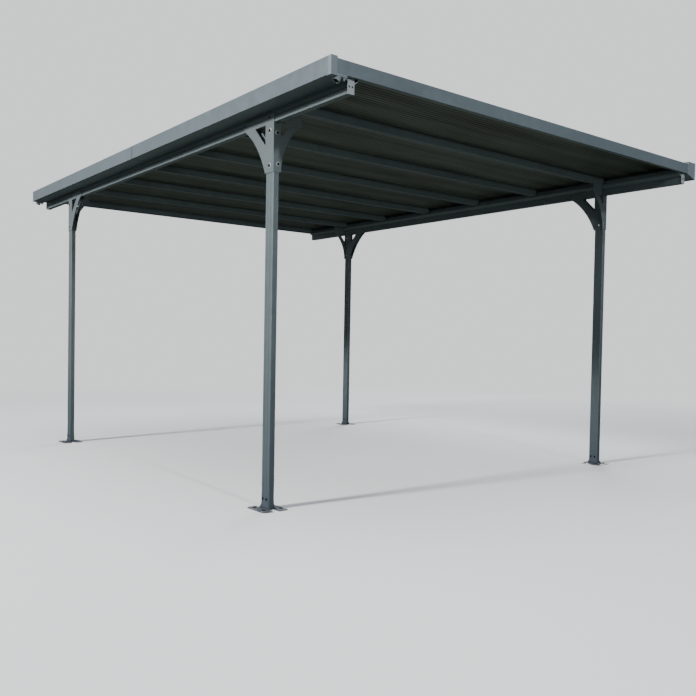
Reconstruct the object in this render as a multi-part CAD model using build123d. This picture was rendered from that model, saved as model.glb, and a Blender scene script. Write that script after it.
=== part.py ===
from build123d import *
import os
from math import atan, degrees, hypot

os.makedirs("parts", exist_ok=True)

# Millimetres. X runs to the right, Y to the rear, Z up; the floor is at Z 0.
# The origin is the middle of the roof's outline, on the floor.

# Roof layout
roof_width = 3150.0            # gutter face to right rail face
bay_count = 7                  # roof sheets
bay_clear = 642.0              # clear width between two bars
beam_underside = 2090.0        # left beam above the floor
cross_fall = 10.0              # right beam above the left one
gutter_reach = 110.0           # gutter face outside the left beam
rail_reach = 97.0              # right rail face outside the right beam

# Posts
post_thick = 34.0              # along X
post_depth = 78.0              # along Y
post_wall = 2.0
post_radius = 3.0
groove_wide = 5.0
groove_deep = 0.8

# Side beams
beam_wall = 2.0
beam_step = 49.0               # height at which the beam widens
beam_wide = 40.0
beam_top = 104.0               # top of the closed box
web_top = 126.0                # top of the upright outer web
web_thick = 4.0
lip_top = 11.0                 # plain lower strip of the outer face
recess_deep = 3.0
rib_low = 33.0
rib_high = 38.0
groove_high = 5.0              # groove under the rib
ledge_reach = 62.0
ledge_root = 50.0              # the sloping arm at the beam
ledge_low = 67.0               # the arm under its upright lip
ledge_thick = 4.0
end_plate = 2.5

# Rafters and their glazing bars
rafter_width = 44.0
rafter_low = 80.0
sheet_seat = 130.0             # underside of the roof sheets
rafter_wall = 2.0
slot_high = 7.0
bar_neck = 16.0
bar_cap = 2.5

# Roof sheets
sheet_thick = 6.0
sheet_left = 25.0              # sheet past the left beam's outer face
sheet_right = 30.0             # sheet past the right beam's outer face

# Front and rear profiles
fascia_depth = 56.0
fascia_box = 25.0
fascia_low = 73.0
fascia_top = 141.0
fascia_left = 73.0             # start of the profile outside the left beam
fascia_wall = 2.0
fascia_floor = 2.5             # under the sheet slot

# Gutter
gutter_low = 63.0
gutter_top = 150.0
gutter_wall = 2.0
gutter_inner = 118.0
gutter_lip = 10.0
cap_thick = 3.0
cap_drop = 3.0                 # floor of the cap below the gutter
cap_lid = 5.0                  # plate behind the trough below the sheets
tongue_reach = 92.0            # floor and sump of the cap inside the gutter face
tongue_back = 38.0
spout_radius = 18.0            # ring at the spout's rim
spout_bore = 15.0              # hole in the ring
spout_ring = 8.0               # length of the ring
spout_neck = 17.5              # tube above the ring
spout_core = 16.0              # hole in the tube
spout_tilt = 28.0              # outward lean of the spout
spout_low = 40.0               # middle of the spout's rim
spout_in = 39.0                # the rim's middle inside the gutter face
spout_back = 18.0              # spout axis behind the roof's front or rear face
hook_in = 69.0                 # moulded hook beside the spout
hook_wide = 18.0
hook_drop = 17.0
hook_deep = 20.0

# Right rail
rail_wall = 2.5
rail_low = 40.0
rail_lift = 5.0                # outer end of the sloping web above the rail's lower edge
rail_top = 158.0
rail_flange = 92.0
rail_root = 73.0               # where the sloping web meets the beam
rail_seal = 143.0

# Post heads
head_sheet = 2.5
head_drop = 265.0
head_margin = 9.0              # side wing beyond the post at its foot
head_reach = 330.0
head_tip = 8.0
head_rise = 47.0
head_sag = 31.0
cross_foot = 45.0
cross_reach = 170.0
cross_rise = 110.0
cross_sag = 33.0
window_edge = 8.0              # post to window
window_long = 116.0
window_high = 110.0
window_top = 4.0               # below the beam's underside
window_radius = 3.0
cross_window_long = 62.0
cross_window_high = 70.0

# Feet
foot_long = 195.0
foot_out = 62.0
foot_sheet = 2.5
foot_leg = 70.0
foot_leg_top = 66.0
foot_leg_low = 130.0
foot_flare = 46.0              # height at which the leg starts to widen
foot_sag = 8.0                 # hollow of the widening edge
foot_radius = 24.0
anchor_radius = 5.5
anchor_pitch = 100.0
anchor_out = 35.0

# Fits and clearances
end_gap = 0.5                  # rafter ends to the beam webs
rail_gap = 1.0                 # front and rear profiles to the right rail
cap_gap = 1.0                  # front and rear profiles to the gutter caps
seam_gap = 0.3                 # butted lengths
gutter_joint = 2.4             # sealed joint of the gutter's two lengths
seat_gap = 0.5                 # gutter cap's floor and sump to what lies on them
slot_gap = 1.0                 # sheet edges to the bar necks
wing_gap = 1.0                 # cross wing to the beam

# Derived layout
rafter_count = bay_count - 1
rafter_pitch = bay_clear + rafter_width
roof_length = 2 * fascia_depth + bay_count * bay_clear + rafter_count * rafter_width
overhang = fascia_depth + bay_clear
front_face = -roof_length / 2
post_face = front_face + overhang
left_face = -roof_width / 2 + gutter_reach
right_face = roof_width / 2 - rail_reach
span = right_face - left_face
slot_deep = (rafter_width - bar_neck) / 2
tilt = degrees(atan(cross_fall / (span - ledge_reach)))


def patch(x0, y0, x1, y1):
    """Rectangle between two corners."""
    return Pos((x0 + x1) / 2, (y0 + y1) / 2) * Rectangle(abs(x1 - x0), abs(y1 - y0))


def outline(*points):
    """Face inside a closed polygon."""
    return make_face(Polyline(*points, close=True))


def along_y(face, y0, y1):
    """Extrude a face drawn in (x, z) from y0 to y1."""
    return Pos(0, y1, 0) * extrude(Plane.XZ * face, amount=y1 - y0)


def along_x(face, x0, x1):
    """Extrude a face drawn in (y, z) from x0 to x1."""
    return Pos(x0, 0, 0) * extrude(Plane.YZ * face, amount=x1 - x0)


def on_side(shape, right):
    """Move a shape drawn from the left beam's outer face to the left or right beam."""
    if right:
        return Pos(right_face, 0, beam_underside + cross_fall) * mirror(shape, about=Plane.YZ)
    return Pos(left_face, 0, beam_underside) * shape


def at_end(shape, rear):
    """Keep a front shape or mirror it to the rear."""
    return mirror(shape, about=Plane.XZ) if rear else shape


def across(shape):
    """Lay a cross member, drawn from the left beam's outer face, to the roof's fall."""
    return Pos(left_face, 0, beam_underside) * Rot(0, -tilt, 0) * shape


def save(shape, name):
    export_step(shape, f"parts/{name}.step")


# Posts
def post(height):
    section = RectangleRounded(post_thick, post_depth, post_radius)
    for side in (-1, 1):
        for along in (-1, 1):
            section -= Pos(side * post_thick / 2, along * post_depth / 5) * Rectangle(2 * groove_deep, groove_wide)
        section -= Pos(0, side * post_depth / 2) * Rectangle(groove_wide, 2 * groove_deep)
    inner = RectangleRounded(post_thick - 2 * post_wall, post_depth - 2 * post_wall, post_radius / 2)
    return extrude(section - inner, amount=height)


# Side beams
def ledge():
    """Sloping arm with an upright lip, x inward from the beam's outer face, z up from its underside."""
    slope = (ledge_low - ledge_root) / (ledge_reach - beam_wide)
    rise = ledge_thick * hypot(1, slope)
    tip = ledge_reach - ledge_thick
    return outline((beam_wide, ledge_root), (ledge_reach, ledge_low), (ledge_reach, rafter_low), (tip, rafter_low),
                   (tip, ledge_low + rise - ledge_thick * slope), (beam_wide, ledge_root + rise))


def beam_body():
    """Filled outline of the beam."""
    face = patch(0, 0, post_thick, beam_step) + patch(0, beam_step, beam_wide, beam_top)
    face += patch(0, beam_top, web_thick, web_top)
    return face + ledge()


def beam_section():
    face = beam_body()
    groove_low = rib_low - groove_high
    face -= outline((0, lip_top), (recess_deep, lip_top), (1, groove_low), (0, groove_low))
    face -= patch(0, groove_low, web_thick, rib_low)
    face -= patch(0, rib_high, recess_deep, gutter_low)
    deep = web_thick + beam_wall
    face -= patch(deep, beam_wall, post_thick - beam_wall, beam_step)
    face -= patch(deep, beam_step + beam_wall, beam_wide - beam_wall, beam_top - beam_wall)
    return face


def beam_end_face():
    """End plate: a plain upright with the ledge's outline."""
    return patch(0, 0, beam_wide, beam_top) + ledge()


# Rafters
def rafter(y):
    half = rafter_width / 2
    neck = bar_neck / 2
    cap_low = sheet_seat + slot_high
    box = patch(-half, rafter_low, half, sheet_seat)
    box -= patch(-half + rafter_wall, rafter_low + rafter_wall, half - rafter_wall, sheet_seat - rafter_wall)
    bar = patch(-half, sheet_seat - rafter_wall, half, sheet_seat)
    bar += patch(-neck, sheet_seat - rafter_wall, neck, cap_low)
    bar += patch(-half, cap_low, half, cap_low + bar_cap)
    bar -= patch(-neck + rafter_wall, sheet_seat, neck - rafter_wall, cap_low)
    inner = beam_wide + end_gap
    body = along_x(box, inner, span - inner)
    body += along_x(bar, -sheet_left, span + sheet_right)
    return across(Pos(0, y, 0) * body)


# Front profile, y back from its front face
def fascia():
    flange = sheet_seat - fascia_floor
    slot_back = fascia_depth - slot_deep
    face = patch(0, fascia_low, fascia_box, sheet_seat)
    face += patch(0, flange, fascia_depth, fascia_top)
    face -= patch(slot_back, sheet_seat, fascia_depth, sheet_seat + slot_high)
    w = fascia_wall
    face -= patch(w, fascia_low + w, fascia_box - w, flange)
    face -= patch(w, flange + w, slot_back - w, fascia_top - w)
    return Pos(0, front_face, 0) * along_x(face, -fascia_left, span - rail_gap)


# Roof sheet number i, counted from the front
def sheet(i):
    low = front_face + fascia_depth + i * rafter_pitch - slot_deep + slot_gap
    high = low + bay_clear + 2 * (slot_deep - slot_gap)
    face = patch(low, sheet_seat, high, sheet_seat + sheet_thick)
    return across(along_x(face, -sheet_left, span + sheet_right))


# Gutter, x inward from the beam's outer face
def gutter_section():
    w = gutter_wall
    g = -gutter_reach
    face = patch(g, gutter_low, 0, gutter_low + w)
    face += patch(g, gutter_low, g + w, gutter_top)
    face += patch(-w, gutter_low, 0, gutter_inner)
    face += patch(g, gutter_top - w, g + gutter_lip, gutter_top)
    face += patch(g + gutter_lip - w, gutter_top - 3 * w, g + gutter_lip, gutter_top)
    return face


def gutter():
    start = front_face + fascia_box + cap_thick
    return along_y(gutter_section(), start, -gutter_joint / 2)


def spout_bar(radius, start, long):
    """Leaning round bar, from a distance up the spout's axis."""
    where = Pos(-gutter_reach + spout_in, front_face + spout_back, spout_low) * Rot(0, spout_tilt, 0)
    return where * Pos(0, 0, start) * Cylinder(radius, long, align=(Align.CENTER, Align.CENTER, Align.MIN))


def spout_tube(radius, start, top):
    """Leaning round bar cut off level at a height."""
    wide = 4 * gutter_reach
    above = Pos(0, front_face, top) * Box(wide, wide, wide, align=(Align.CENTER, Align.CENTER, Align.MIN))
    return spout_bar(radius, start, 2 * tongue_back) - above


def gutter_cap():
    """Hollow corner block with a low sump and its drain spout, and the plate that shuts the trough."""
    g = -gutter_reach
    edge = -fascia_left - cap_gap
    floor = gutter_low - cap_drop
    rear = front_face + fascia_box
    block = patch(g, floor, edge, gutter_top)
    hollow = patch(g + cap_thick, gutter_low, edge - cap_thick, gutter_top - cap_thick)
    body = along_y(block - hollow, front_face + cap_thick, rear + cap_thick)
    body += along_y(block, front_face, front_face + cap_thick)
    sump_end = g + tongue_reach
    sump_top = fascia_low - seat_gap
    body += along_y(patch(edge - cap_thick, floor, sump_end, sump_top), front_face, rear + cap_thick)
    body -= along_y(patch(edge - 2 * cap_thick, gutter_low, sump_end - cap_thick, sump_top - cap_thick),
                    front_face + cap_thick, rear)
    body += along_y(patch(edge - cap_thick, gutter_low, 0, sheet_seat - cap_lid), rear, rear + cap_thick)
    tongue = patch(g, floor, g + tongue_reach, gutter_low - seat_gap)
    body += along_y(tongue, front_face, front_face + tongue_back)
    body += spout_tube(spout_neck, 0, floor + cap_drop / 2)
    body += spout_bar(spout_radius, 0, spout_ring)
    hook = g + hook_in
    tip = hook_wide / 4
    body += along_y(outline((hook, floor), (hook + tip, floor - hook_drop), (hook + 2 * tip, floor - hook_drop),
                            (hook + hook_wide, floor)), front_face + cap_thick, front_face + hook_deep)
    body -= spout_bar(spout_bore, 0, spout_ring)
    return body - spout_tube(spout_core, spout_ring, gutter_low)


# Right rail, drawn like the left side and mirrored afterwards
def rail_slope_low():
    """Underside of the sloping web at the outer plate."""
    return rail_low + rail_lift


def rail_section():
    w = rail_wall
    g = -rail_reach
    face = patch(g, rail_low, g + w, rail_top)
    face += patch(g, rail_top - w, g + rail_flange, rail_top)
    face += patch(g + rail_flange - w, rail_seal + w, g + rail_flange, rail_top)
    face += patch(-w, rail_root - w, 0, gutter_inner)
    low = rail_slope_low()
    face += outline((g, low), (0, rail_root - w), (0, rail_root), (g, low + w))
    return face


def rail():
    return along_y(rail_section(), front_face + cap_thick, -seam_gap / 2)


def rail_cap():
    g = -rail_reach
    face = outline((g, rail_low), (g + rail_wall, rail_low), (0, rail_root - rail_wall), (0, gutter_inner),
                   (g + rail_flange, rail_seal), (g + rail_flange, rail_top), (g, rail_top))
    return along_y(face, front_face, front_face + cap_thick)


# Post heads: wings drawn as (distance from the corner, height from the beam's underside)
def wing(foot, reach, tip, top, sag, start):
    """Wing with a straight inner edge and a hollow outer edge."""
    ax, ay = foot, -head_drop
    bx, by = reach, tip
    long = hypot(bx - ax, by - ay)
    mx = (ax + bx) / 2 - sag * (by - ay) / long
    my = (ay + by) / 2 + sag * (bx - ax) / long
    edge = ThreePointArc((ax, ay), (mx, my), (bx, by))
    rest = Polyline((bx, by), (bx, top), (start, top), (start, ay), (ax, ay))
    return make_face(Wire([edge, *rest.edges()]))


def window(x, long, high):
    """Triangular window with its upright edge at x."""
    corner = outline((x, -window_top), (x + long, -window_top), (x, -window_top - high))
    return fillet(corner.vertices(), window_radius)


def post_head():
    t = head_sheet
    side = wing(post_depth + head_margin, head_reach, head_tip, head_rise, head_sag, -t)
    side -= window(post_depth + window_edge, window_long, window_high)
    outer = Pos(-t, post_face, 0) * along_x(side, 0, t)
    cross = wing(cross_foot, cross_reach, head_tip, cross_rise, cross_sag, -t)
    cross -= window(post_thick + window_edge, cross_window_long, cross_window_high)
    cross -= patch(-2 * t, -wing_gap, ledge_reach + wing_gap, cross_rise + t)
    outer += along_y(cross, post_face - t, post_face)
    plain = wing(post_depth + head_margin, head_reach, head_tip, head_rise, head_sag, 0)
    plain -= window(post_depth + window_edge, window_long, window_high)
    inner = Pos(post_thick, post_face, 0) * along_x(plain, 0, t)
    return [outer, inner]


# Feet
def foot_flank():
    """Widening edge of the leg on one side, as a face with one hollow edge."""
    low = (foot_leg_low / 2, 0)
    high = (foot_leg_top / 2, foot_flare)
    long = hypot(low[0] - high[0], high[1])
    middle = ((low[0] + high[0]) / 2 - foot_sag * high[1] / long, high[1] / 2 - foot_sag * (low[0] - high[0]) / long)
    return make_face(Wire([ThreePointArc(low, middle, high), *Polyline(high, (high[0], 0), low).edges()]))


def foot():
    """Angle foot against the face x = 0, standing on the floor, centred on y = 0."""
    plate = Pos(-foot_out / 2, 0) * Rectangle(foot_out, foot_long)
    plate = fillet(plate.vertices().group_by(Axis.X)[0], foot_radius)
    for side in (-1, 1):
        plate -= Pos(-anchor_out, side * anchor_pitch / 2) * Circle(anchor_radius)
    leg = patch(-foot_leg_top / 2, 0, foot_leg_top / 2, foot_leg)
    flare = foot_flank()
    leg += flare + mirror(flare, about=Plane.YZ)
    return extrude(plate, amount=foot_sheet) + Pos(-foot_sheet, 0, 0) * along_x(leg, 0, foot_sheet)


# The four corners
for right in (False, True):
    for rear in (False, True):
        corner = ("rear" if rear else "front") + "_" + ("right" if right else "left")
        other = ("right" if right else "left") + "_" + ("rear" if rear else "front")
        face_x = right_face if right else left_face
        turn = -1 if right else 1
        middle = (-1 if rear else 1) * (post_face + post_depth / 2)
        height = beam_underside + (cross_fall if right else 0)
        save(Pos(face_x + turn * post_thick / 2, middle, 0) * post(height), "post_" + corner)

        feet = foot()
        inner_foot = Pos(post_thick, 0, 0) * mirror(foot(), about=Plane.YZ)
        pair = [feet, inner_foot]
        if right:
            pair = [mirror(piece, about=Plane.YZ) for piece in pair]
        pair = [Pos(face_x, middle, 0) * piece for piece in pair]
        save(Compound(children=pair), "post_foot_" + corner)

        heads = [on_side(at_end(piece, rear), right) for piece in post_head()]
        save(Compound(children=heads), "post_head_" + corner)

        start = front_face + fascia_box
        length = along_y(beam_section(), start + end_plate, -seam_gap / 2)
        save(on_side(at_end(length, rear), right), "beam_" + other)
        plate = along_y(beam_end_face(), start, start + end_plate)
        save(on_side(at_end(plate, rear), right), "beam_end_" + other)

# Gutter on the left, rail on the right, edge profiles at the front and rear
for rear in (False, True):
    end = "rear" if rear else "front"
    save(on_side(at_end(gutter(), rear), False), "gutter_" + end)
    save(on_side(at_end(gutter_cap(), rear), False), "gutter_cap_" + end)
    save(on_side(at_end(rail(), rear), True), "right_profile_" + end)
    save(on_side(at_end(rail_cap(), rear), True), "right_profile_cap_" + end)
    save(across(at_end(fascia(), rear)), end + "_profile")

# Rafters and roof sheets
for i in range(rafter_count):
    save(rafter(post_face + rafter_width / 2 + i * rafter_pitch), f"rafter_{i + 1}")
for i in range(bay_count):
    save(sheet(i), f"roof_panel_{i + 1}")
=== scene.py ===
import math

import bmesh
import bpy
from mathutils import Matrix, Vector


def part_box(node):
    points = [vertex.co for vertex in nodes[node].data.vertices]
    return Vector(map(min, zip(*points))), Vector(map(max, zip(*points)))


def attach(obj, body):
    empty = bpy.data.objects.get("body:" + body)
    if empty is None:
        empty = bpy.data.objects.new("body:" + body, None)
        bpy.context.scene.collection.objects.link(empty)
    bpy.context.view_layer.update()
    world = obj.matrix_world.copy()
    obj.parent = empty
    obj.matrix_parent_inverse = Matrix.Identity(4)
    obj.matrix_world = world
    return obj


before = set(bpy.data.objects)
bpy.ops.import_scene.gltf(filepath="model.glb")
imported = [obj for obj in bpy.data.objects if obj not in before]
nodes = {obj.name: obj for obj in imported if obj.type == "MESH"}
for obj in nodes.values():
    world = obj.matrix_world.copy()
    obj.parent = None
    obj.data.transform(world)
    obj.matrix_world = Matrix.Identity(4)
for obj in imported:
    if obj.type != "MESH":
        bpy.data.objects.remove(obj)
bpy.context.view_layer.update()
MM = 0.001
TURN = 2 * math.pi

# Places read from the frame, in metres
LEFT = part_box("post_front_left")[0].x
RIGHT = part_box("post_front_right")[1].x
POST_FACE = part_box("post_front_left")[0].y
BEAM_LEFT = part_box("beam_left_front")[0].z
BEAM_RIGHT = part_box("beam_right_front")[0].z
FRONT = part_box("front_profile")[0].y
POST_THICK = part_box("post_front_left")[1].x - LEFT
POST_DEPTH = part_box("post_front_left")[1].y - POST_FACE

# Sizes of the profiles, in millimetres
SHEET_SEAT = 130.0          # underside of the roof sheets above the left beam's underside
BAR_CAP = 137.0             # underside of the glazing bars' caps above the left beam's underside
RAFTER_HALF = 22.0          # half a rafter's width
RAFTER_COUNT = 6
RAFTER_START = 41.0         # end of a rafter inside the beam's outer face
SHEET_LEFT = 25.0           # sheet past the left beam's outer face
SHEET_RIGHT = 30.0          # sheet past the right beam's outer face
PROFILE_DEPTH = 56.0        # front and rear profiles along the roof
LEDGE_REACH = 62.0          # the beam's ledge inside its outer face
SHEET_METAL = 2.5           # brackets and feet
GUTTER_INNER = 118.0        # top of the gutter's inner wall above the left beam's underside
GUTTER_LIP = 10.0           # width of the gutter's upper lip

# Camera, fitted to the frame's own straight lines: pixels of the square picture, radians, metres
PICTURE = 696.0
SENSOR = 36.0
FOCAL = 787.70
CENTRE_ACROSS = 430.0
CENTRE_DOWN = 364.69
YAW = -0.721
PITCH = -0.028
ROLL = 0.0208
EYE = (-3.6211, -5.4922, 0.9267)

# Lights: name, place and target in metres, disc in metres, watts, colour
LIGHTS = (
    ("key", (-17.0, -1.2, 9.2), (0.0, 0.0, 1.6), 2.4, 6400.0, (1.0, 0.985, 0.96)),
    ("fill", (-2.0, -12.0, 5.0), (0.0, 0.0, 1.5), 0.5, 650.0, (0.93, 0.97, 1.0)),
    ("front", (-3.0, -15.0, 0.8), (0.0, 0.0, 1.7), 1.5, 290.0, (0.94, 0.99, 0.95)),
    ("side", (-15.0, -4.0, 0.9), (0.0, 0.0, 1.8), 1.5, 90.0, (0.94, 1.0, 0.95)),
    ("back", (12.5, 10.0, 5.0), (0.0, 0.0, 1.2), 7.0, 2000.0, (0.93, 0.97, 1.0)),
    ("sky", (0.0, 0.0, 9.5), (0.0, 0.0, 0.0), 9.0, 600.0, (0.95, 0.98, 1.0)),
)
BACKDROP = (1.1, 1.12, 1.14, 1.0)
AMBIENT = (0.84, 0.91, 1.0, 1.0)
AMBIENT_RISE = (-0.12, 0.06)        # the ambient light grows between these heights of its direction
AMBIENT_STRENGTH = (0.05, 0.30)     # below and above them

# Floor, in metres
FLOOR_RINGS = (2.0, 5.0, 9.0, 14.0, 20.0, 28.0, 40.0)
FLOOR_SIDES = 64
FLOOR_FADE = (3.2, 9.0)
FLOOR_SEEN = ((0.66, 0.67, 0.68, 1.0), (0.71, 0.72, 0.73, 1.0))
FLOOR_BOUNCE = (0.12, 0.135, 0.12, 1.0)


def camera():
    """Camera at the photograph's viewing angle."""
    up = Vector((0.0, 0.0, 1.0))
    forward = Vector((-math.sin(YAW), math.cos(YAW), 0.0))
    right = Vector((math.cos(YAW), math.sin(YAW), 0.0))
    ahead = forward * math.cos(PITCH) + up * math.sin(PITCH)
    over = up * math.cos(PITCH) - forward * math.sin(PITCH)
    side = right * math.cos(ROLL) + over * math.sin(ROLL)
    top = over * math.cos(ROLL) - right * math.sin(ROLL)
    data = bpy.data.cameras.new("camera")
    data.sensor_width = SENSOR
    data.lens = FOCAL * SENSOR / PICTURE
    data.shift_x = (PICTURE / 2 - CENTRE_ACROSS) / PICTURE
    data.shift_y = (CENTRE_DOWN - PICTURE / 2) / PICTURE
    obj = bpy.data.objects.new("camera", data)
    obj.matrix_world = Matrix((
        (side.x, top.x, -ahead.x, EYE[0]),
        (side.y, top.y, -ahead.y, EYE[1]),
        (side.z, top.z, -ahead.z, EYE[2]),
        (0.0, 0.0, 0.0, 1.0)))
    bpy.context.scene.collection.objects.link(obj)
    bpy.context.scene.camera = obj


def area_light(name, place, target, size, power, colour):
    data = bpy.data.lights.new(name, "AREA")
    data.shape = "DISK"
    data.size = size
    data.energy = power
    data.color = colour
    obj = bpy.data.objects.new(name, data)
    obj.location = place
    obj.rotation_euler = (Vector(target) - Vector(place)).to_track_quat("-Z", "Y").to_euler()
    bpy.context.scene.collection.objects.link(obj)


def pale_world():
    """Soft ambient light, brighter from above, and an even pale backdrop where the camera looks."""
    world = bpy.data.worlds.new("studio")
    world.use_nodes = True
    tree = world.node_tree
    ambient = tree.nodes["Background"]
    ambient.inputs["Color"].default_value = AMBIENT
    direction = tree.nodes.new("ShaderNodeTexCoord")
    split = tree.nodes.new("ShaderNodeSeparateXYZ")
    lift = tree.nodes.new("ShaderNodeMapRange")
    tree.links.new(direction.outputs["Generated"], split.inputs[0])
    tree.links.new(split.outputs["Z"], lift.inputs[0])
    for key, value in enumerate(AMBIENT_RISE + AMBIENT_STRENGTH, 1):
        lift.inputs[key].default_value = value
    tree.links.new(lift.outputs[0], ambient.inputs["Strength"])
    seen = tree.nodes.new("ShaderNodeBackground")
    seen.inputs["Color"].default_value = BACKDROP
    path = tree.nodes.new("ShaderNodeLightPath")
    mix = tree.nodes.new("ShaderNodeMixShader")
    tree.links.new(path.outputs["Is Camera Ray"], mix.inputs[0])
    tree.links.new(ambient.outputs[0], mix.inputs[1])
    tree.links.new(seen.outputs[0], mix.inputs[2])
    tree.links.new(mix.outputs[0], tree.nodes["World Output"].inputs["Surface"])
    bpy.context.scene.world = world


def studio():
    """Broad key high on the gutter side, weak fills, one light behind, one overhead, pale surround."""
    for light in LIGHTS:
        area_light(*light)
    pale_world()


# Meshes built from rings of vertices
def new_object(name, bm, material, smooth=True, second=None):
    mesh = bpy.data.meshes.new(name)
    bm.to_mesh(mesh)
    bm.free()
    if smooth:
        for face in mesh.polygons:
            face.use_smooth = True
    mesh.materials.append(material)
    if second:
        mesh.materials.append(second)
    obj = bpy.data.objects.new(name, mesh)
    bpy.context.scene.collection.objects.link(obj)
    return obj


def ring(bm, base, radius, height, sides, spin=0.0):
    """Ring of vertices round the z axis of base, or one vertex where the radius is nothing."""
    if radius == 0.0:
        return [bm.verts.new(base @ Vector((0.0, 0.0, height)))]
    row = []
    for k in range(sides):
        angle = TURN * k / sides + spin
        point = Vector((radius * math.cos(angle), radius * math.sin(angle), height))
        row.append(bm.verts.new(base @ point))
    return row


def skin(bm, rows, sides):
    """Faces from each ring to the next."""
    for low, high in zip(rows, rows[1:]):
        for k in range(sides):
            n = (k + 1) % sides
            if len(low) == 1:
                bm.faces.new((low[0], high[k], high[n]))
            elif len(high) == 1:
                bm.faces.new((low[k], high[0], low[n]))
            else:
                bm.faces.new((low[k], high[k], high[n], low[n]))


def surround():
    """Round floor that fades into the backdrop far from the object."""
    bm = bmesh.new()
    level = Matrix.Identity(4)
    skin(bm, [ring(bm, level, r, 0.0, FLOOR_SIDES) for r in (0.0,) + FLOOR_RINGS], FLOOR_SIDES)
    new_object("studio_floor", bm, floor_material())


# Materials: lengths in metres, colours without gamma
METAL_EDGE = 0.0014                 # softened edges of the coated metal
MOULDED_EDGE = 0.002                # and of the mouldings
EDGE_SAMPLES = 4
CORNER_REACH = 0.035                # reach of the painted shade in inner corners
CORNER_SAMPLES = 8
LOW_SHADE_HEIGHTS = (0.1, 1.5)         # the painted shade is full below the first height and ends at the second
JOINT_HALF = (0.0038, 0.0055)       # dark line at the gutter's joint: half its width full and faded
FLUTE_PITCH = 0.0105                # flutes of the sheets
FLUTES_PER_BEAT = 3
PEEL_HEIGHT = 0.00004
WAVE_HEIGHT = 0.0006
GRAIN_HEIGHT = 0.00005
SCRATCH_HEIGHT = 0.00004
RIPPLE_HEIGHT = 0.00012
RAIN_STRETCH = (26.0, 26.0, 0.8)
SHEET_STRETCH = (0.5, 6.0, 1.0)
SCRATCH_STRETCH = (1.0, 1.0, 9.0)
UNIT = (0.0, 1.0)
NOISE_SPAN = (0.3, 0.7)             # most values of a noise
STREAK_SPAN = (0.35, 0.75)
COAT_SHADES = (0.84, 1.16)          # the coating's darkest and lightest tone
MOULDED_SHADES = (0.9, 1.1)
# lighter edges: partly rubbed wear, partly painted highlight
WEAR_AND_HIGHLIGHT_SHADE = 1.75
CORNER_SHADE = 0.2
LOW_SHADE_TINT = (0.28, 0.34, 0.42)    # bluish painted shade, as shares of the coating's colour
DUST = (0.42, 0.40, 0.36, 1.0)
JOINT_DARK = (0.008, 0.009, 0.010, 1.0)
# underside tones are painted shade; the upper face's tones follow
SHEET_BELOW_SHADED = ((0.003, 0.005, 0.003, 1.0), (0.200, 0.226, 0.184, 1.0))
SHEET_ABOVE = ((0.030, 0.030, 0.027, 1.0), (0.062, 0.061, 0.052, 1.0))
FLUTE_SHARE = 0.2                   # shares of the sheet's tone: each flute by itself
WALL_SHARE = 0.15                   # the walls between the flutes
BEAT_SHARE = 0.65                   # the beat over a few flutes
RUBBER_TONES = ((0.012, 0.013, 0.014, 1.0), (0.03, 0.031, 0.031, 1.0))


class Tree:
    """Small helper round one material's node tree."""

    def __init__(self, name):
        self.material = bpy.data.materials.new(name)
        self.material.use_nodes = True
        self.nodes = self.material.node_tree.nodes
        self.links = self.material.node_tree.links
        self.shader = self.nodes["Principled BSDF"]

    def add(self, kind, **inputs):
        node = self.nodes.new(kind)
        for key, value in inputs.items():
            self.put(node, key, value)
        return node

    def put(self, node, key, value):
        """Links or sets one input, named in full or as i and its number."""
        socket = node.inputs[int(key[1:]) if key[0] == "i" and key[1:].isdigit() else key]
        if isinstance(value, bpy.types.NodeSocket):
            self.links.new(value, socket)
        else:
            socket.default_value = value

    def math(self, operation, a, b=0.0, clamp=False):
        node = self.add("ShaderNodeMath", i0=a, i1=b)
        node.operation = operation
        node.use_clamp = clamp
        return node.outputs[0]

    def add_up(self, a, b):
        return self.math("ADD", a, b)

    def times(self, a, b):
        return self.math("MULTIPLY", a, b)

    def coords(self, stretch=None):
        source = self.add("ShaderNodeTexCoord").outputs["Object"]
        if stretch is None:
            return source
        return self.add("ShaderNodeMapping", Vector=source, Scale=stretch).outputs["Vector"]

    def axes(self, vector):
        return self.add("ShaderNodeSeparateXYZ", Vector=vector).outputs

    def face_normal(self):
        return self.add("ShaderNodeNewGeometry").outputs["Normal"]

    def noise(self, scale, detail=3.0, rough=0.5, stretch=None):
        place = self.coords(stretch)
        node = self.add("ShaderNodeTexNoise", Vector=place, Scale=scale, Detail=detail, Roughness=rough)
        return node.outputs["Fac"]

    def remap(self, value, span, onto):
        """Stretches a span of values onto another, and holds what lies outside at its ends."""
        node = self.add("ShaderNodeMapRange", i0=value, i1=span[0], i2=span[1], i3=onto[0], i4=onto[1])
        node.clamp = True
        return node.outputs[0]

    def mix(self, factor, a, b):
        node = self.nodes.new("ShaderNodeMix")
        node.data_type = "RGBA"
        for key, value in (("i0", factor), ("i6", a), ("i7", b)):
            self.put(node, key, value)
        return node.outputs[2]

    def rounded(self, radius):
        """Normal with softened edges."""
        node = self.add("ShaderNodeBevel", Radius=radius)
        node.samples = EDGE_SAMPLES
        return node.outputs["Normal"]

    def bump(self, height, strength, normal=None):
        node = self.add("ShaderNodeBump", Height=height, Strength=strength, Distance=1.0)
        if normal is not None:
            self.put(node, "Normal", normal)
        return node.outputs["Normal"]

    def set(self, **inputs):
        for key, value in inputs.items():
            self.put(self.shader, key.replace("_", " "), value)
        return self.material


def shade(colour, factor):
    return tuple(min(1.0, c * factor) for c in colour[:3]) + (1.0,)


def shades(colour, factors):
    return [shade(colour, factor) for factor in factors]


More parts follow.
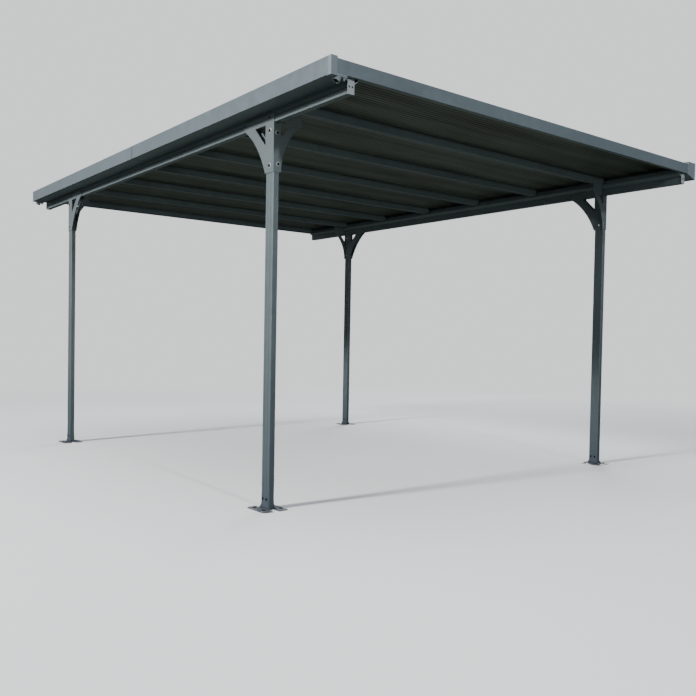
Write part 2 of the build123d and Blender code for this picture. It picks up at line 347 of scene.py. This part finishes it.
def coat_tone(t, colour, cloud, streak):
    """Slow drift, clouds and rain marks in the coating's tone."""
    drift = t.noise(scale=1.7, detail=2.0)
    tone = t.add_up(t.remap(drift, NOISE_SPAN, (-0.5, 0.5)), t.remap(cloud, NOISE_SPAN, (-0.35, 0.35)))
    tone = t.add_up(tone, t.remap(streak, STREAK_SPAN, (-0.15, 0.35)))
    return t.mix(t.remap(tone, (-1.0, 1.0), UNIT), *shades(colour, COAT_SHADES))


def dust_on_top(t, normal, amount):
    """Specks of dust on faces that look up."""
    upward = t.remap(t.axes(normal)["Z"], (0.55, 0.95), UNIT)
    speck = t.remap(t.noise(scale=55.0, detail=6.0, rough=0.7), (0.42, 0.72), UNIT)
    return t.times(t.times(upward, speck), amount)


def edge_wear_and_highlight(t, normal, soft, amount):
    """Lighter edges, where the softened normal leaves the face's own, in patches: partly rubbed wear,
    partly a painted highlight.
    """
    dot = t.add("ShaderNodeVectorMath", i0=soft, i1=normal)
    dot.operation = "DOT_PRODUCT"
    wear_and_highlight_mask = t.remap(dot.outputs["Value"], (0.80, 0.985), (amount, 0.0))
    patches = t.remap(t.noise(scale=32.0, detail=4.0, rough=0.7), (0.35, 0.65), (0.25, 1.0))
    return t.times(wear_and_highlight_mask, patches)


def painted_corner_shade(t):
    """Painted shade in inner corners, darker where nearby faces close them in."""
    corner = t.add("ShaderNodeAmbientOcclusion", Distance=CORNER_REACH)
    corner.samples = CORNER_SAMPLES
    return t.remap(corner.outputs["AO"], (0.35, 0.80), (0.85, 0.0))


def painted_low_shade(t, height, streak, amount):
    """Painted shade low on the posts, darker towards the floor, with ragged ends."""
    low = t.remap(height, LOW_SHADE_HEIGHTS, (amount, 0.0))
    return t.math("ADD", low, t.remap(streak, STREAK_SPAN, (-0.08, 0.08)), clamp=True)


def orange_peel(t, soft):
    """Fine skin of the coating over a slight wave of the metal."""
    fine = t.times(t.noise(scale=1400.0, detail=2.0), PEEL_HEIGHT)
    wavy = t.times(t.noise(scale=9.0, detail=2.0), WAVE_HEIGHT)
    return t.bump(t.add_up(fine, wavy), 0.5, soft)


def coated_metal(name, colour, roughness=0.42, dust=0.25, edge=0.5, low_shade=0.75, joint=0.0):
    """Satin powder coating with dust, rubbed edges that are partly a painted highlight, painted shade in
    inner corners and low down and, on the gutter, a dark joint.
    """
    t = Tree(name)
    cloud = t.noise(scale=14.0, detail=5.0, rough=0.6)
    streak = t.noise(scale=3.0, detail=4.0, rough=0.6, stretch=RAIN_STRETCH)
    normal = t.face_normal()
    soft = t.rounded(METAL_EDGE)
    place = t.axes(t.coords())
    dusty = dust_on_top(t, normal, dust)
    look = t.mix(dusty, coat_tone(t, colour, cloud, streak), DUST)
    # lighter edges: partly rubbed wear, partly painted highlight
    look = t.mix(edge_wear_and_highlight(t, normal, soft, edge), look, shade(colour, WEAR_AND_HIGHLIGHT_SHADE))
    # painted shade: inner corners darkened towards CORNER_SHADE
    look = t.mix(painted_corner_shade(t), look, shade(colour, CORNER_SHADE))
    # painted shade low down: bluish, darker towards the floor
    low_shade_colour = tuple(c * share for c, share in zip(colour, LOW_SHADE_TINT)) + (1.0,)
    look = t.mix(painted_low_shade(t, place["Z"], streak, low_shade), look, low_shade_colour)
    if joint:
        line = t.remap(t.math("ABSOLUTE", place["Y"]), JOINT_HALF, (joint, 0.0))
        look = t.mix(line, look, JOINT_DARK)
    satin = t.remap(cloud, (0.25, 0.75), (roughness - 0.06, roughness + 0.09))
    rough = t.add_up(satin, t.times(dusty, 0.5))
    bump = orange_peel(t, soft)
    return t.set(Base_Color=look, Roughness=rough, Normal=bump, Metallic=0.15, Specular_IOR_Level=0.5)


def moulded_plastic(name, colour):
    """Moulded part: fine grain, slight sun fading and a softer shine than the coated metal."""
    t = Tree(name)
    fading = t.remap(t.noise(scale=6.0, detail=4.0, rough=0.6), NOISE_SPAN, UNIT)
    base = t.mix(fading, *shades(colour, MOULDED_SHADES))
    grain = t.times(t.noise(scale=2200.0, detail=2.0), GRAIN_HEIGHT)
    bump = t.bump(grain, 0.6, t.rounded(MOULDED_EDGE))
    rough = t.remap(t.noise(scale=25.0, detail=4.0), NOISE_SPAN, (0.42, 0.56))
    return t.set(Base_Color=base, Roughness=rough, Normal=bump)


def flute_tone(t, run):
    """Tone of the flutes: one by one, their walls, a beat over a few of them and a long drift."""
    white = t.add("ShaderNodeTexWhiteNoise")
    white.noise_dimensions = "1D"
    t.put(white, "W", t.math("FLOOR", run))
    off_middle = t.math("ABSOLUTE", t.math("SUBTRACT", t.math("FRACT", run), 0.5))
    wall = t.remap(off_middle, (0.36, 0.48), UNIT)
    beat = t.remap(t.math("SINE", t.times(run, TURN / FLUTES_PER_BEAT)), (-0.4, 0.9), UNIT)
    drift = t.noise(scale=2.0, detail=3.0, rough=0.55, stretch=SHEET_STRETCH)
    tone = t.add_up(t.times(white.outputs["Value"], FLUTE_SHARE), t.times(wall, WALL_SHARE))
    tone = t.add_up(tone, t.times(beat, BEAT_SHARE))
    tone = t.add_up(tone, t.remap(drift, NOISE_SPAN, (-0.2, 0.3)))
    return t.remap(tone, (0.0, 1.2), UNIT)


def smoky_sheet(name):
    """Tinted twin-wall sheet with flutes across the roof's width, duller on its upper face; its
    underside's dark, strongly striped tone is painted shade.
    """
    t = Tree(name)
    run = t.math("DIVIDE", t.axes(t.coords())["Y"], FLUTE_PITCH)
    tone = flute_tone(t, run)
    upward = t.remap(t.axes(t.face_normal())["Z"], (0.3, 0.6), UNIT)
    # painted shade: faces that look down take the dark underside tones, faces that look up their own
    base = t.mix(upward, t.mix(tone, *SHEET_BELOW_SHADED), t.mix(tone, *SHEET_ABOVE))
    rough = t.remap(t.noise(scale=3.0, detail=5.0, rough=0.6), NOISE_SPAN, (0.30, 0.36))
    bump = t.bump(t.times(t.math("SINE", t.times(run, TURN)), RIPPLE_HEIGHT), 0.5)
    alpha = t.remap(tone, UNIT, (0.985, 0.96))
    return t.set(Base_Color=base, Roughness=rough, Normal=bump, Alpha=alpha, Specular_IOR_Level=0.14)


def rubber(name):
    """Dull black rubber with a fine grain."""
    t = Tree(name)
    tone = t.noise(scale=60.0, detail=4.0, rough=0.6)
    rough = t.remap(tone, NOISE_SPAN, (0.55, 0.75))
    grain = t.times(t.noise(scale=900.0, detail=2.0), GRAIN_HEIGHT)
    return t.set(Base_Color=t.mix(tone, *RUBBER_TONES), Roughness=rough, Normal=t.bump(grain, 0.6))


def fastener_metal(name, dark, light, metal, roughness):
    """Metal of the fasteners, with cloudy patches and light scratches."""
    t = Tree(name)
    cloud = t.noise(scale=160.0, detail=5.0, rough=0.65)
    base = t.mix(t.remap(cloud, NOISE_SPAN, UNIT), dark, light)
    scratch = t.noise(scale=700.0, detail=3.0, rough=0.6, stretch=SCRATCH_STRETCH)
    bump = t.bump(t.times(scratch, SCRATCH_HEIGHT), 0.6)
    rough = t.remap(cloud, NOISE_SPAN, (roughness, roughness + 0.2))
    return t.set(Base_Color=base, Roughness=rough, Normal=bump, Metallic=metal, Specular_IOR_Level=metal)


def floor_material():
    """Pale matt floor that throws back little light and turns clear far out, so no horizon shows."""
    t = Tree("studio_floor")
    pale = t.mix(t.noise(scale=0.35), *FLOOR_SEEN)
    base = t.mix(t.add("ShaderNodeLightPath").outputs["Is Camera Ray"], FLOOR_BOUNCE, pale)
    place = t.axes(t.coords())
    squares = t.add_up(t.math("POWER", place["X"], 2.0), t.math("POWER", place["Y"], 2.0))
    alpha = t.remap(t.math("SQRT", squares), FLOOR_FADE, (1.0, 0.0))
    return t.set(Base_Color=base, Roughness=0.85, Specular_IOR_Level=0.1, Alpha=alpha)


# Fasteners as profiles of (radius, height), in millimetres, or in radii for the pan head
ROUND = 20
HEXAGON = 6
BOLT_WASHER = ((0, 0), (11.2, 0), (11.4, 0.3), (11.4, 1.3), (11.0, 1.6), (0, 1.6))
BOLT_HEAD = ((8.742, 1.6), (9.3, 2.0), (9.3, 3.4), (7.998, 4.0), (4.65, 4.0), (3.906, 3.7), (0, 3.7))
BOLT_SPIN = 0.4
NUT_WASHER = ((0, 0), (8.64, 0), (8.82, 0.3), (8.82, 1.35), (8.46, 1.53), (0, 1.53))
NUT = ((6.075, 1.53), (6.75, 2.07), (6.75, 6.66), (5.94, 7.38), (3.87, 7.38))
NUT_SPIN = 0.3
STUD_SIDES = 16
STUD_START = (3.6, 1.0)
STUD_END = ((3.06, 12.38), (0, 12.38))
THREAD_CREST = 3.6
THREAD_ROOT = 3.33
THREAD_START = 2.0
THREAD_PITCH = 0.9
THREAD_TURNS = 11
PAN_SIDES = 18
PAN_HEAD = ((1, 0), (0.98, 0.25), (0.85, 0.45), (0.6, 0.56), (0.42, 0.58), (0.34, 0.25), (0, 0.2))

# Places of the fasteners, in millimetres, heights from the beam's underside or from the floor
SIDE_BOLTS = ((37.0, -41.0), (38.0, -228.0))        # inward from the post's end face, and height
WING_BOLTS = ((26.0, -222.0), (18.0, -56.0))        # inward from the beam's outer face, and height
BRACKET_SCREWS = ((44.0, 32.0), (315.0, 33.0))      # inward from the post's end face, and height
PLATE_SCREWS = ((10.0, 34.5), (28.0, 34.5))         # inward from the beam's outer face, and height
FOOT_SCREWS = ((-18.0, 56.0), (18.0, 56.0))         # from the post's middle, and height
ANCHORS = (-50.0, 50.0)                             # from the post's middle
ANCHOR_OUT = 35.0                                   # outside the post's face
SIDE_BOLT_SIZE = 1.12
WING_BOLT_SIZE = 0.95
FOOT_SCREW_SIZE = 0.68
ANCHOR_SIZE = 1.25
BRACKET_SCREW_RADIUS = 5.0
PLATE_SCREW_RADIUS = 4.2


def turned(bm, base, profile, scale=1.0, sides=ROUND, spin=0.0):
    """Surface of revolution about the z axis of base."""
    rows = [ring(bm, base, r * scale * MM, z * scale * MM, sides, spin) for r, z in profile]
    skin(bm, rows, sides)


def aimed(place, direction):
    """Matrix with its z axis along a direction."""
    spin = Vector(direction).to_track_quat("Z", "Y").to_matrix().to_4x4()
    return Matrix.Translation(Vector(place)) @ spin


def flange_bolt(bm, place, direction, size):
    """Low six-sided head in the second material, on a round washer; the head's near-black steel is
    partly painted shade, standing for a shaded socket.
    """
    base = aimed(place, direction)
    turned(bm, base, BOLT_WASHER, size)
    washer = len(bm.faces)
    turned(bm, base, BOLT_HEAD, size, HEXAGON, BOLT_SPIN)
    bm.faces.ensure_lookup_table()
    for face in bm.faces[washer:]:
        face.material_index = 1


def nut_and_stud(bm, place, direction):
    """Washer, nut and the bolt's threaded end."""
    base = aimed(place, direction)
    turned(bm, base, NUT_WASHER)
    turned(bm, base, NUT, sides=HEXAGON, spin=NUT_SPIN)
    rod = [STUD_START]
    for k in range(THREAD_TURNS):
        z = THREAD_START + k * THREAD_PITCH
        rod += [(THREAD_CREST, z), (THREAD_ROOT, z + THREAD_PITCH / 2)]
    rod += STUD_END
    turned(bm, base, rod, sides=STUD_SIDES)


def pan_screw(bm, place, direction, radius):
    turned(bm, aimed(place, direction), PAN_HEAD, radius, PAN_SIDES)


def signs(right, rear):
    """Inward directions along X and Y at one corner."""
    return -1.0 if right else 1.0, -1.0 if rear else 1.0


def corner_map(right, rear):
    """Maps (in from the outer face, in from the post's end face, above the beam's underside), in mm."""
    s, e = signs(right, rear)
    face = RIGHT if right else LEFT
    low = BEAM_RIGHT if right else BEAM_LEFT
    return lambda x, y, z: (face + s * x * MM, e * (POST_FACE + y * MM), low + z * MM)


def ground_map(right, rear):
    """Maps (in from the post's outer face, in from its middle, above the floor), in mm."""
    s, e = signs(right, rear)
    face = RIGHT if right else LEFT
    middle = POST_FACE + POST_DEPTH / 2
    return lambda x, y, z: (face + s * x * MM, e * (middle + y * MM), z * MM)


def fit(obj):
    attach(obj, "root")


def bracket_fixings(right, rear, name, steel, dark):
    """Bolts through bracket and post with nuts inside, bolts in the cross wing, screws in the beam."""
    put = corner_map(right, rear)
    s, e = signs(right, rear)
    outside = -SHEET_METAL
    inside = POST_THICK / MM + SHEET_METAL
    bm = bmesh.new()
    for y, z in SIDE_BOLTS:
        flange_bolt(bm, put(outside, y, z), (-s, 0, 0), SIDE_BOLT_SIZE)
        nut_and_stud(bm, put(inside, y, z), (s, 0, 0))
    for x, z in WING_BOLTS:
        flange_bolt(bm, put(x, outside, z), (0, -e, 0), WING_BOLT_SIZE)
    fit(new_object("bracket_bolts_" + name, bm, steel, False, dark))
    bm = bmesh.new()
    for y, z in BRACKET_SCREWS:
        pan_screw(bm, put(outside, y, z), (-s, 0, 0), BRACKET_SCREW_RADIUS)
        pan_screw(bm, put(inside, y, z), (s, 0, 0), BRACKET_SCREW_RADIUS)
    fit(new_object("bracket_screws_" + name, bm, dark))


def foot_fixings(right, rear, name, dull, dark):
    """Screws of the two angle feet in the post, and anchors through their flanges."""
    put = ground_map(right, rear)
    s = signs(right, rear)[0]
    inside = POST_THICK / MM
    bm = bmesh.new()
    for y, z in FOOT_SCREWS:
        flange_bolt(bm, put(-SHEET_METAL, y, z), (-s, 0, 0), FOOT_SCREW_SIZE)
        flange_bolt(bm, put(inside + SHEET_METAL, y, z), (s, 0, 0), FOOT_SCREW_SIZE)
    fit(new_object("foot_screws_" + name, bm, dark, False, dark))
    bm = bmesh.new()
    for y in ANCHORS:
        for x in (-ANCHOR_OUT, inside + ANCHOR_OUT):
            flange_bolt(bm, put(x, y, SHEET_METAL), (0, 0, 1), ANCHOR_SIZE)
    fit(new_object("ground_anchors_" + name, bm, dull, False, dark))


def end_plate_screws(right, rear, name, steel):
    """Two screws in the plate that closes the beam's end."""
    put = corner_map(right, rear)
    e = signs(right, rear)[1]
    node = "beam_end_" + ("right" if right else "left") + ("_rear" if rear else "_front")
    low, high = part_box(node)
    face = high.y if rear else low.y
    bm = bmesh.new()
    for x, z in PLATE_SCREWS:
        across, _, up = put(x, 0.0, z)
        pan_screw(bm, (across, face, up), (0, -e, 0), PLATE_SCREW_RADIUS)
    fit(new_object("end_plate_screws_" + name, bm, steel))


# Rubber lips and the gutter's seal, in millimetres
LIP_ABOVE = (3.0, 1.2)          # width and height above the sheet
LIP_BELOW = (2.6, 2.4)          # and below it
LIP_ROOT = -1.5                 # start of a lip inside the edge that holds it
LIP_OUTLINE = ((0.55, 0.0), (0.9, -0.3), (1.0, -0.8), (0.8, -1.0))      # shares of width and height
SEAL_OUTER = 0.4                # seal's outer face inside the gutter's surface
SEAL_INNER = 1.6                # and its inner face
SEAL_HALF = 1.1                 # half the seal's length along the gutter


def tilted():
    """The roof's cross fall about the left beam's underside."""
    rise = BEAM_RIGHT - BEAM_LEFT
    angle = math.atan(rise / (RIGHT - LEFT - LEDGE_REACH * MM))
    return Matrix.Translation((LEFT, 0.0, BEAM_LEFT)) @ Matrix.Rotation(-angle, 4, "Y")


def strip(bm, base, outline, x0, x1):
    """Extrudes an outline drawn in (y, z) from x0 to x1, all in millimetres."""
    a = [bm.verts.new(base @ Vector((x0 * MM, y * MM, z * MM))) for y, z in outline]
    b = [bm.verts.new(base @ Vector((x1 * MM, y * MM, z * MM))) for y, z in outline]
    n = len(outline)
    for k in range(n):
        bm.faces.new((a[k], a[(k + 1) % n], b[(k + 1) % n], b[k]))
    bm.faces.new(list(reversed(a)))
    bm.faces.new(b)


def lip(y, z, side, width, drop):
    """Outline of a rounded rubber lip that leaves an edge at (y, z) towards side."""
    outer = [(a * width, b * drop) for a, b in LIP_OUTLINE]
    shape = [(LIP_ROOT, 0.0)] + outer + [(LIP_ROOT, -drop)]
    return [(y + side * a, z + b) for a, b in shape]


def sheet_edge_lips(bm, base, edge, side):
    """Lips above and below a sheet, on one side of what holds its edge."""
    span = (RIGHT - LEFT) / MM
    strip(bm, base, lip(edge, BAR_CAP, side, *LIP_ABOVE), -SHEET_LEFT, span + SHEET_RIGHT)
    strip(bm, base, lip(edge, SHEET_SEAT, side, *LIP_BELOW), RAFTER_START, span - RAFTER_START)


def seals(black):
    """Rubber lips above and below the sheets, along each glazing bar and along both edge profiles."""
    base = tilted()
    for i in range(1, RAFTER_COUNT + 1):
        low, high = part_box("rafter_%d" % i)
        middle = (low.y + high.y) / 2 / MM
        bm = bmesh.new()
        for side in (-1, 1):
            sheet_edge_lips(bm, base, middle + side * RAFTER_HALF, side)
        fit(new_object("seals_rafter_%d" % i, bm, black, False))
    for end, e in (("front", 1.0), ("rear", -1.0)):
        bm = bmesh.new()
        sheet_edge_lips(bm, base, e * (FRONT / MM + PROFILE_DEPTH), e)
        fit(new_object("seals_" + end, bm, black, False))


def gutter_seal(black):
    """Rubber seal in the joint between the gutter's two lengths, just below its surface."""
    low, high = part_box("gutter_front")
    face, floor, top = (low.x - LEFT) / MM, (low.z - BEAM_LEFT) / MM, (high.z - BEAM_LEFT) / MM
    wall = GUTTER_INNER - SEAL_OUTER
    lip_end = face + GUTTER_LIP - SEAL_OUTER
    shape = [(face + SEAL_OUTER, floor + SEAL_OUTER), (-SEAL_OUTER, floor + SEAL_OUTER),
             (-SEAL_OUTER, wall), (-SEAL_INNER, wall),
             (-SEAL_INNER, floor + SEAL_INNER), (face + SEAL_INNER, floor + SEAL_INNER),
             (face + SEAL_INNER, top - SEAL_INNER), (lip_end, top - SEAL_INNER),
             (lip_end, top - SEAL_OUTER), (face + SEAL_OUTER, top - SEAL_OUTER)]
    turn = Matrix.Translation((LEFT, 0.0, BEAM_LEFT)) @ Matrix.Rotation(math.pi / 2, 4, "Z")
    bm = bmesh.new()
    strip(bm, turn, [(-x, z) for x, z in shape], -SEAL_HALF, SEAL_HALF)
    bmesh.ops.recalc_face_normals(bm, faces=bm.faces)
    fit(new_object("gutter_joint_seal", bm, black, False))


# Finish of each CAD node, by the start of its name
FRAME = coated_metal("grey_blue_coating_frame", (0.105, 0.132, 0.142))
EDGE = coated_metal("grey_blue_coating_edge", (0.110, 0.138, 0.154), joint=0.9)
BRACKET = coated_metal("grey_blue_coating_bracket", (0.114, 0.138, 0.146), 0.38, 0.3, 0.6)
FOOT = coated_metal("grey_blue_coating_foot", (0.045, 0.058, 0.078), 0.45, 0.3, 0.4, low_shade=0.0)
END_PLATE = coated_metal("light_grey_plate", (0.33, 0.355, 0.38), 0.35, 0.1, 0.3)
CAP = moulded_plastic("grey_blue_mouldings", (0.145, 0.175, 0.195))
SHEET = smoky_sheet("smoky_twin_wall")
FINISHES = (
    ("post_head", BRACKET),
    ("post_foot", FOOT),
    ("beam_end", END_PLATE),
    ("gutter_cap", CAP),
    ("right_profile_cap", CAP),
    ("gutter", EDGE),
    ("right_profile", EDGE),
    ("front_profile", EDGE),
    ("rear_profile", EDGE),
    ("roof_panel", SHEET),
    ("rafter", FRAME),
    ("beam", FRAME),
    ("post", FRAME),
)
STEEL = fastener_metal("plated_steel", (0.50, 0.51, 0.52, 1.0), (0.72, 0.73, 0.74, 1.0), 0.35, 0.28)
DULL_STEEL = fastener_metal("dull_zinc", (0.16, 0.17, 0.18, 1.0), (0.27, 0.28, 0.30, 1.0), 0.3, 0.42)
# near-black steel without shine for bolt heads and screws: partly their own dark finish, partly painted
# shade for shaded sockets and holes
DARK_STEEL_AND_SHADE = fastener_metal(
    "dark_steel_and_painted_shade", (0.004, 0.004, 0.005, 1.0), (0.012, 0.012, 0.014, 1.0), 0.0, 0.55)
RUBBER = rubber("black_rubber")


def dress_nodes():
    for name, obj in nodes.items():
        finish = next(finish for start, finish in FINISHES if name.startswith(start))
        obj.data.materials.clear()
        obj.data.materials.append(finish)


def fixings():
    """Fasteners at the four corners."""
    for right in (False, True):
        for rear in (False, True):
            corner = ("rear" if rear else "front") + "_" + ("right" if right else "left")
            bracket_fixings(right, rear, corner, STEEL, DARK_STEEL_AND_SHADE)
            foot_fixings(right, rear, corner, DULL_STEEL, DARK_STEEL_AND_SHADE)
            end_plate_screws(right, rear, corner, DARK_STEEL_AND_SHADE)


camera()
studio()
surround()
dress_nodes()
fixings()
seals(RUBBER)
gutter_seal(RUBBER)
